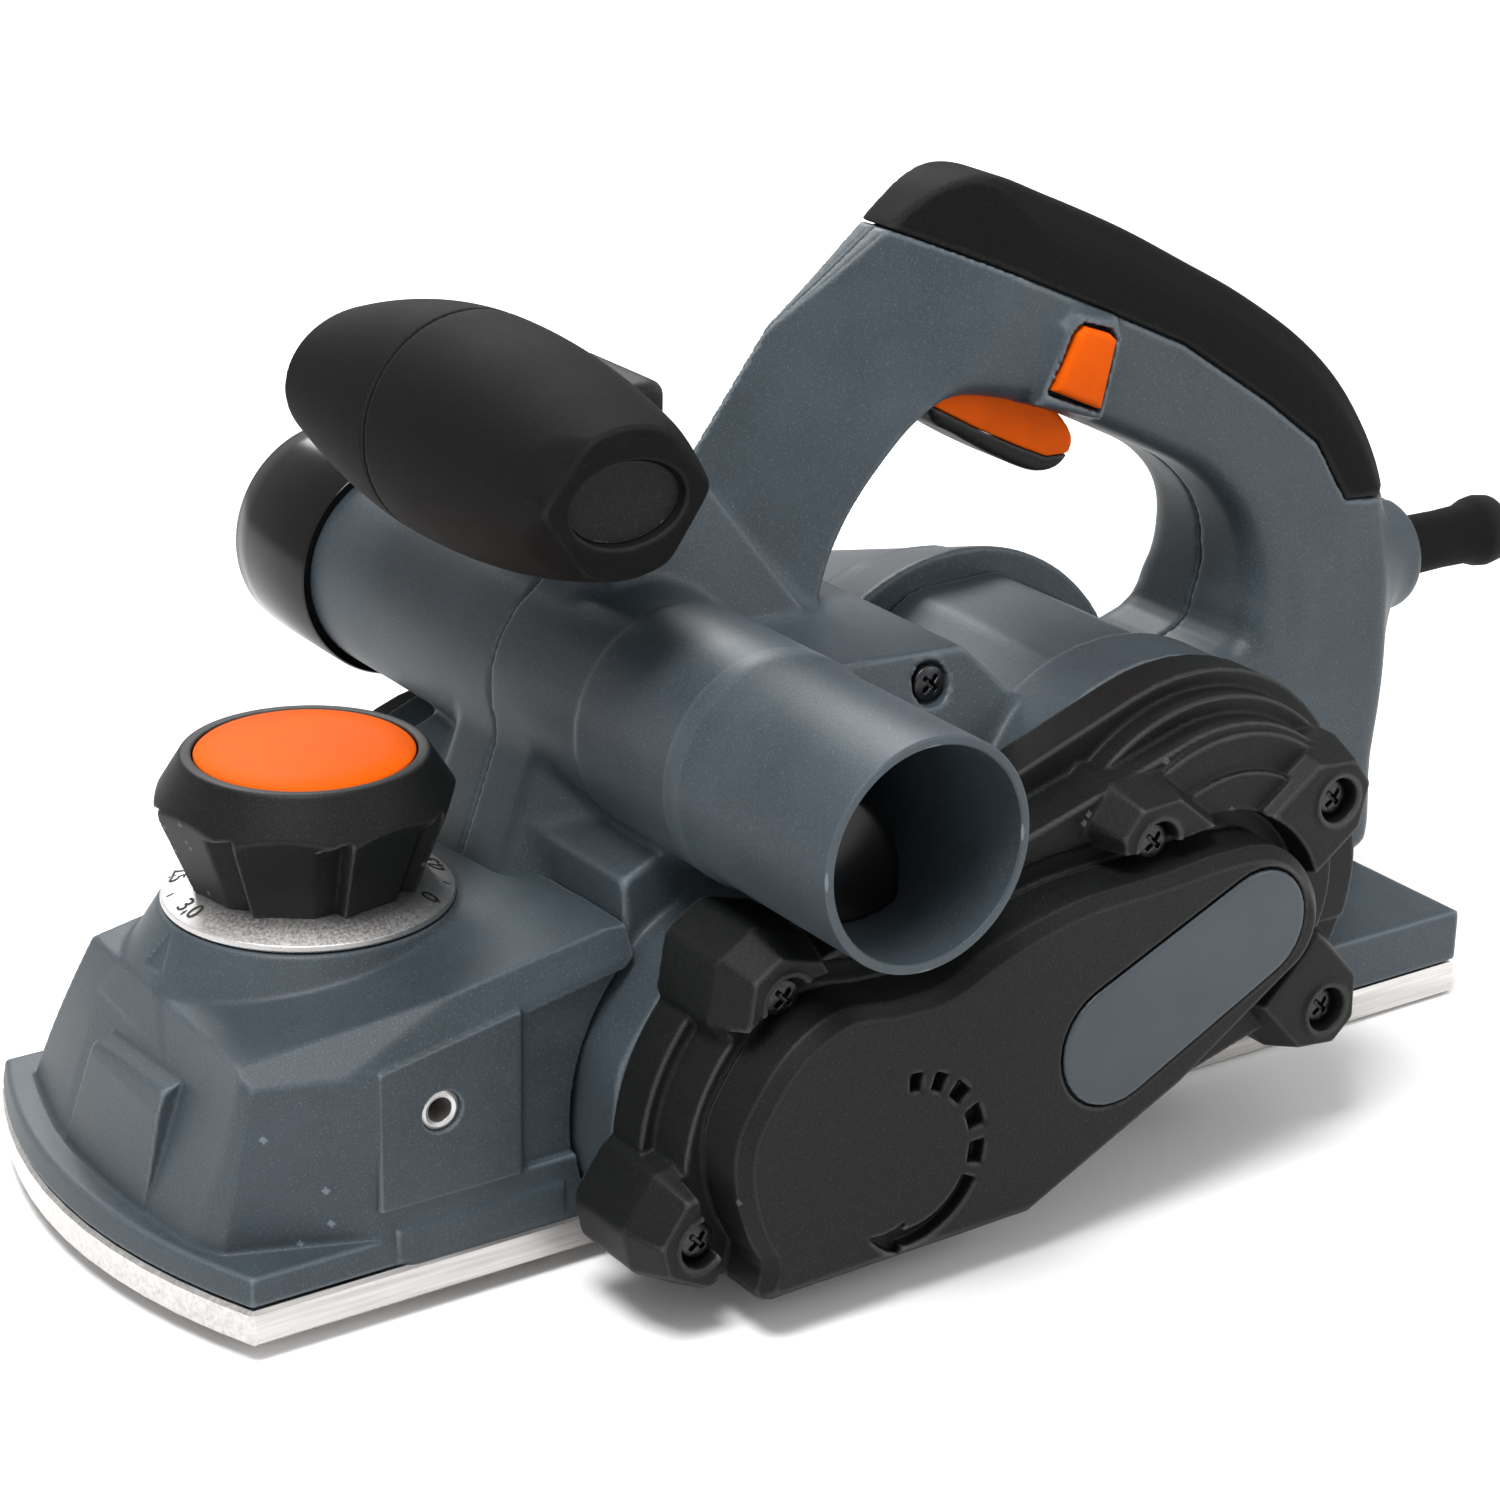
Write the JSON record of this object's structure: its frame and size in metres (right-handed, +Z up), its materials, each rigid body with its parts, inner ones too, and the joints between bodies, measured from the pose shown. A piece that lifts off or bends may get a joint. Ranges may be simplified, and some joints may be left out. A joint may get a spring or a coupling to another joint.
{
  "type": "electric hand planer",
  "caption": "Electric hand planer: aluminium front and rear soles, cutter drum, belt drive, depth knob, front grip, closed rear handle with trigger, cross dust tube.",
  "frame": {"origin": "middle of the rear sole's flat face", "axes": "+X from the nose to the rear, -Y the belt-cover side, +Z up from the sole"},
  "size_m": [0.3865, 0.232, 0.198],
  "materials": {
    "housing": "fine-grained blue-grey moulding",
    "black_plastic": "fine-grained black moulding",
    "rubber": "soft black overmould",
    "orange_plastic": "satin orange",
    "label": "blue-grey plate",
    "sole": "brushed",
    "scale_ring": "matt silver with black figures",
    "steel": "ground",
    "dark_steel": "blackened",
    "laminations": "stacked sheets",
    "brass": "turned",
    "carbon": "pressed carbon",
    "belt": "ribbed belt"
  },
  "bodies": {
    "planer": {"housing_left": "housing", "housing_right": "housing", "nose_housing": "housing", "rear_deck": "housing", "rear_shoe": "sole", "drum_bearing_left": "steel", "drum_bearing_right": "steel", "drive_belt": "belt", "field_stator": "laminations", "motor_bearing_left": "steel", "motor_bearing_right": "steel", "brush_holder_1": "brass", "brush_holder_2": "brass", "carbon_brush_1": "carbon", "carbon_brush_2": "carbon", "belt_housing": "black_plastic", "belt_cover": "black_plastic", "label_plate": "label", "cover_screw_1": "dark_steel", "cover_screw_2": "dark_steel", "cover_screw_3": "dark_steel", "cover_screw_4": "dark_steel", "cover_screw_5": "dark_steel", "housing_screw": "dark_steel", "switch_body": "black_plastic", "handle_grip": "rubber", "front_grip": "rubber", "grip_cap_left": "black_plastic", "grip_cap_right": "black_plastic", "grip_collar": "black_plastic", "chip_deflector": "black_plastic", "side_cover": "black_plastic", "cord_guard": "rubber", "guide_insert": "brass"},
    "front_shoe_body": {"front_shoe": "sole", "depth_spring": "steel"},
    "depth_knob_body": {"depth_knob": "black_plastic", "depth_knob_cap": "orange_plastic", "depth_scale_ring": "scale_ring", "depth_screw": "steel"},
    "cutter": {"cutter_drum": "steel", "blade_1": "steel", "blade_2": "steel", "blade_clamp_1": "dark_steel", "blade_clamp_2": "dark_steel", "clamp_bolt_1": "dark_steel", "clamp_bolt_2": "dark_steel", "clamp_bolt_3": "dark_steel", "clamp_bolt_4": "dark_steel", "drum_pulley": "dark_steel"},
    "armature": {"armature_shaft": "steel", "armature_core": "laminations", "commutator": "brass", "cooling_fan": "black_plastic", "motor_pulley": "dark_steel"},
    "trigger_body": {"trigger": "orange_plastic", "trigger_lip": "black_plastic"},
    "lock_body": {"lock_button": "orange_plastic"},
    "dust_cap_body": {"dust_cap": "black_plastic"}
  },
  "joints": [
    {"name": "knob_turn", "type": "hinge", "parent": "planer", "child": "depth_knob_body", "pos_m": [-0.1854, 0, 0.0675], "axis": [0, 0, 1], "range_deg": [0, 231]},
    {"name": "shoe_slide", "type": "slide", "parent": "planer", "child": "front_shoe_body", "axis": [0, 0, -1], "range_m": [0, 0.003], "deforming": ["depth_spring"]},
    {"name": "trigger_pull", "type": "hinge", "parent": "planer", "child": "trigger_body", "pos_m": [-0.033, 0, 0.16], "axis": [0, -1, 0], "range_deg": [0, 8], "stiffness_Nm_per_rad": 0.6, "springref_deg": -6.88},
    {"name": "lock_press", "type": "slide", "parent": "planer", "child": "lock_body", "axis": [0, 1, 0], "range_m": [0, 0.0023], "stiffness_N_per_m": 500, "springref_m": -0.001},
    {"name": "drum_spin", "type": "hinge", "parent": "planer", "child": "cutter", "pos_m": [-0.1105, 0, 0.031], "axis": [0, 1, 0], "continuous": true},
    {"name": "motor_spin", "type": "hinge", "parent": "planer", "child": "armature", "pos_m": [-0.0215, 0, 0.062], "axis": [0, 1, 0], "continuous": true},
    {"name": "cap_pull", "type": "slide", "parent": "planer", "child": "dust_cap_body", "axis": [0, 1, 0], "range_m": [0, 0.035]}
  ],
  "couplings": [
    {"joint": "motor_spin", "follows": "drum_spin", "ratio": 1.35},
    {"joint": "knob_turn", "follows": "shoe_slide", "rad_per_m": 1343.9}
  ]
}
